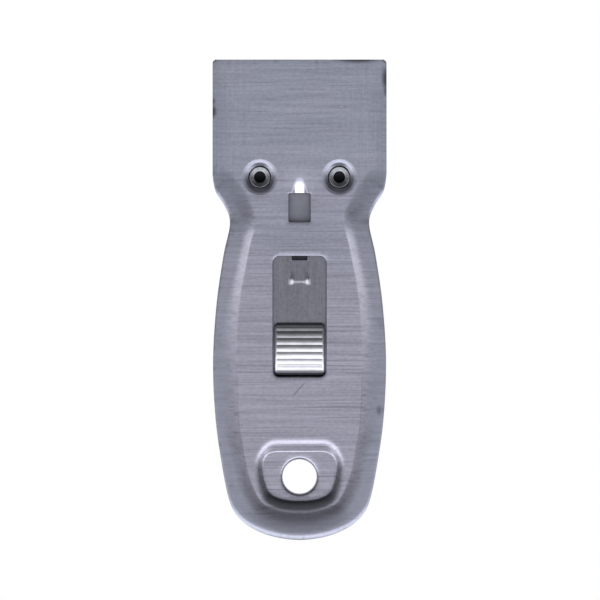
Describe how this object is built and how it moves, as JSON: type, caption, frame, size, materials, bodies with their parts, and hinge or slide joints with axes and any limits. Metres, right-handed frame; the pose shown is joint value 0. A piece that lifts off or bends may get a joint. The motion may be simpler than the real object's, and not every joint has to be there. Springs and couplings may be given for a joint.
{
  "type": "razor blade scraper",
  "caption": "All-metal hand scraper of two riveted pressed shells with a sliding, latching carrier that pushes a single-edge razor blade out of the flat head.",
  "frame": {"origin": "centre of the box round the part, on the plane that its back rim rests on", "axes": "+Y along the handle to the blade mouth, +Z out of the front face with the slot, X across the blade"},
  "size_m": [0.0414, 0.1142, 0.0057],
  "materials": {
    "shell_steel": "brushed across the handle",
    "rivet_steel": "plain drawn rivet steel",
    "spring_steel": "ground along the travel",
    "bright_steel": "polished",
    "blade_steel": "ground",
    "spine_steel": "rolled"
  },
  "bodies": {
    "handle": {"front_shell": "shell_steel", "back_shell": "shell_steel", "left_rivet": "rivet_steel", "right_rivet": "rivet_steel"},
    "blade": {"razor_blade": "blade_steel", "blade_spine": "spine_steel"},
    "carrier": {"blade_carrier": "spring_steel", "thumb_button": "bright_steel"}
  },
  "joints": [
    {"name": "blade_slide", "type": "slide", "parent": "handle", "child": "blade", "axis": [0, 1, 0], "range_m": [0, 0.0157]},
    {"name": "latch_lift", "type": "hinge", "parent": "blade", "child": "carrier", "pos_m": [0, 0.0371, 0.00307], "axis": [-1, 0, 0], "range_deg": [0, 1.12], "stiffness_Nm_per_rad": 0.3, "springref_deg": 17.19}
  ]
}
